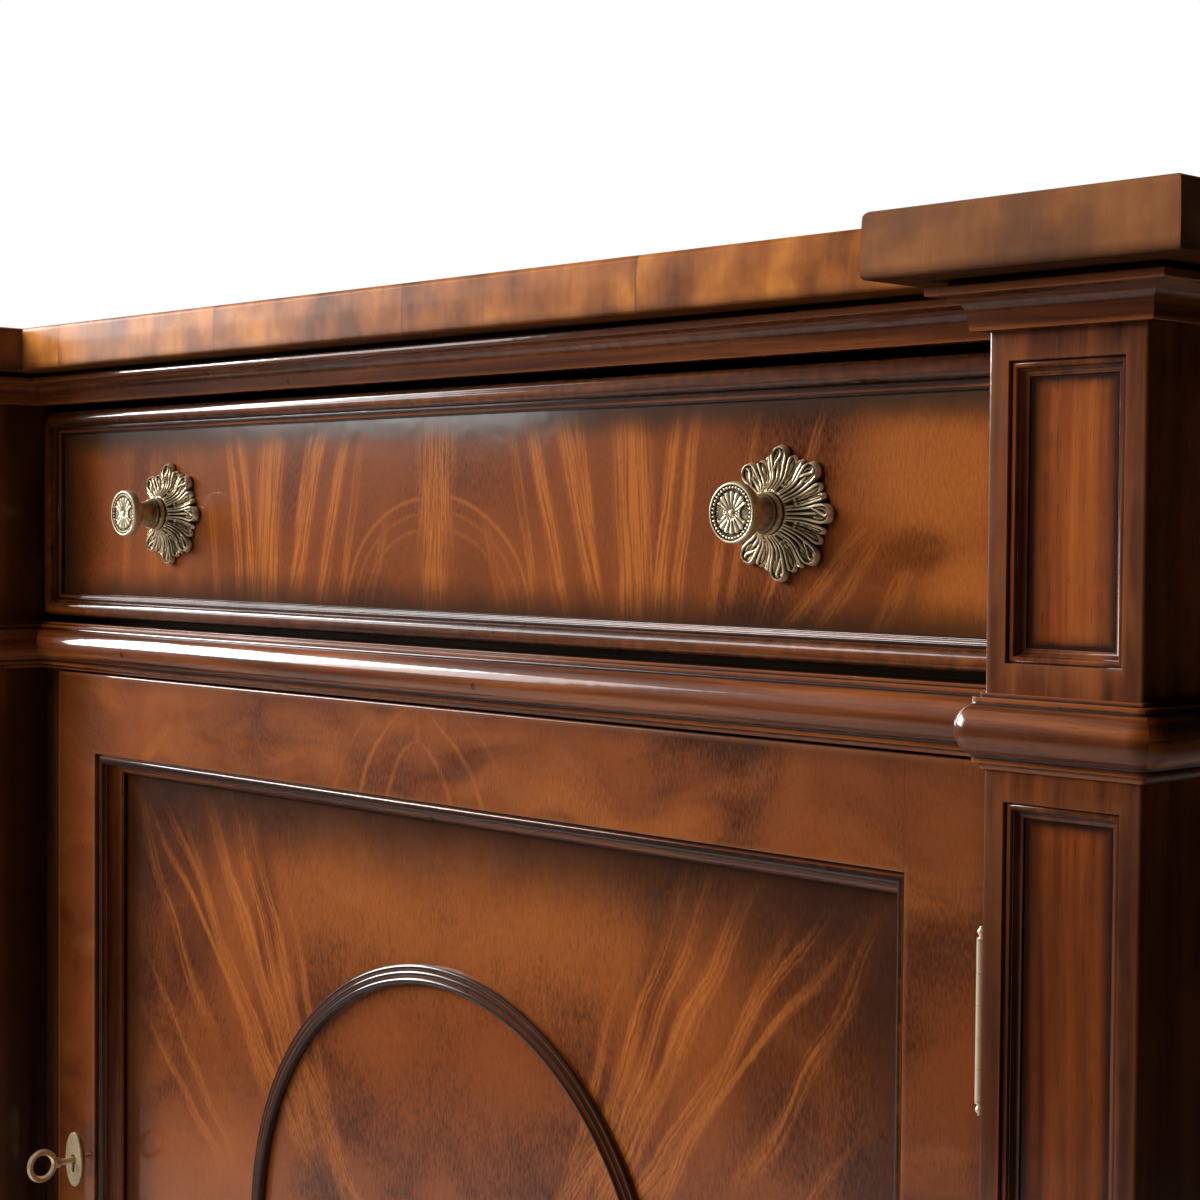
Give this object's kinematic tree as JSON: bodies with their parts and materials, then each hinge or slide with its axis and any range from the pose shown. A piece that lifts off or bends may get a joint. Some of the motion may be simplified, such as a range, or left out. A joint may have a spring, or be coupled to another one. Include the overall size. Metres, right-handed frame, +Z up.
{
  "type": "side cabinet",
  "caption": "Breakfront side cabinet in flame mahogany: a full-width drawer with brass knobs above a panelled cupboard door between pilasters, under a moulded top.",
  "frame": {"origin": "on the floor, under the middle of the cabinet's bounding box", "axes": "+Z up, +X to the cabinet's right as seen from the front, the front faces -Y"},
  "size_m": [0.974, 0.45, 0.914],
  "materials": {
    "flame_mahogany": "flame veneer under gloss lacquer",
    "border_mahogany": "straight veneer under gloss lacquer",
    "solid_mahogany": "dark stained, gloss lacquer",
    "inside_wood": "plain sanded wood",
    "brass": "antiqued, dark in the recesses",
    "steel": "plain"
  },
  "bodies": {
    "case": {"top_slab": "flame_mahogany", "sub_top": "inside_wood", "bottom_board": "inside_wood", "mid_rail": "solid_mahogany", "dust_board": "inside_wood", "side_left": "border_mahogany", "side_right": "border_mahogany", "back_panel": "inside_wood", "pilaster_upper_left": "border_mahogany", "pilaster_upper_right": "border_mahogany", "pilaster_lower_left": "border_mahogany", "pilaster_lower_right": "border_mahogany", "jamb_left": "solid_mahogany", "jamb_right": "solid_mahogany", "cornice_front": "solid_mahogany", "cornice_left": "solid_mahogany", "cornice_right": "solid_mahogany", "mid_moulding_front": "solid_mahogany", "mid_moulding_left": "solid_mahogany", "mid_moulding_right": "solid_mahogany", "plinth_front": "solid_mahogany", "plinth_left": "solid_mahogany", "plinth_right": "solid_mahogany", "shelf": "inside_wood", "shelf_pin_left_front": "brass", "shelf_pin_left_rear": "brass", "shelf_pin_right_front": "brass", "shelf_pin_right_rear": "brass", "drawer_guide_left": "inside_wood", "drawer_guide_right": "inside_wood", "hinge_upper_case_leaf": "brass", "hinge_upper_pin": "brass", "hinge_lower_case_leaf": "brass", "hinge_lower_pin": "brass", "door_stop": "solid_mahogany"},
    "drawer": {"drawer_front": "flame_mahogany", "drawer_moulding": "solid_mahogany", "drawer_side_left": "inside_wood", "drawer_side_right": "inside_wood", "drawer_bottom": "inside_wood", "drawer_back": "inside_wood", "rosette_left": "brass", "knob_left": "brass", "knob_screw_left": "steel", "rosette_right": "brass", "knob_right": "brass", "knob_screw_right": "steel"},
    "door": {"door_stile_left": "flame_mahogany", "door_stile_right": "flame_mahogany", "door_rail_bottom": "flame_mahogany", "door_rail_top": "flame_mahogany", "door_panel": "flame_mahogany", "door_panel_moulding": "solid_mahogany", "door_ring_moulding": "solid_mahogany", "hinge_upper_door_leaf": "brass", "hinge_lower_door_leaf": "brass", "lock_case": "steel", "keyhole_plate": "brass"},
    "lock_bolt": {"lock_bolt": "steel"},
    "key": {"key": "brass"}
  },
  "joints": [
    {"name": "drawer_slide", "type": "slide", "parent": "case", "child": "drawer", "axis": [0, -1, 0], "range_m": [0, 0.28]},
    {"name": "door_hinge", "type": "hinge", "parent": "case", "child": "door", "pos_m": [0.3628, -0.1643, 0.3983], "axis": [0, 0, 1], "range_deg": [0, 120]},
    {"name": "key_turn", "type": "hinge", "parent": "door", "child": "key", "pos_m": [-0.33965, -0.16, 0.3983], "axis": [0, 1, 0], "range_deg": [0, 180]},
    {"name": "bolt_slide", "type": "slide", "parent": "door", "child": "lock_bolt", "axis": [-1, 0, 0], "range_m": [0, 0.008]}
  ],
  "couplings": [
    {"joint": "key_turn", "follows": "bolt_slide", "rad_per_m": 392.6}
  ]
}
